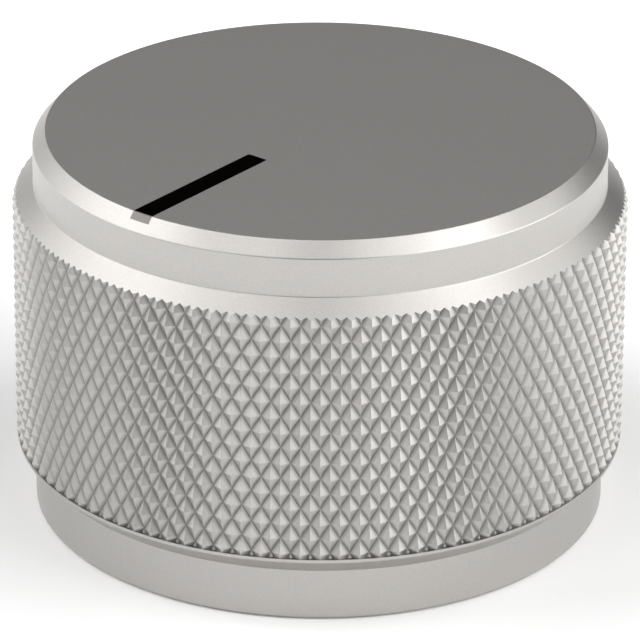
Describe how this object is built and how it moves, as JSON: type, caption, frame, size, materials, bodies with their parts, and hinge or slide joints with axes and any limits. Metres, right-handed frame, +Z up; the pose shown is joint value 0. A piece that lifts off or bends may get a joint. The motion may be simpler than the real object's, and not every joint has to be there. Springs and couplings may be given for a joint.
{
  "type": "knurled knob",
  "caption": "Solid turned aluminium control knob with a diamond-knurled band, a black pointer line and a round shaft bore clamped by set screws.",
  "frame": {"origin": "centre of the foot of the base ring, on the knob's axis, where the knob stands on the panel", "axes": "+Z up along the axis towards the pointer face, -Y the way that the pointer line runs, +Y the first set screw, -X the second"},
  "size_m": [0.038, 0.038, 0.0248],
  "materials": {
    "satin_aluminium": "fine-turned, bead-blasted and clear anodised to a satin grey",
    "black_steel": "black oxide on alloy steel",
    "black_enamel": "gloss black filler enamel, flush in the engraved line"
  },
  "bodies": {
    "root": {"knob_body": "satin_aluminium", "set_screws": "black_steel", "pointer_fill": "black_enamel"}
  },
  "joints": []
}
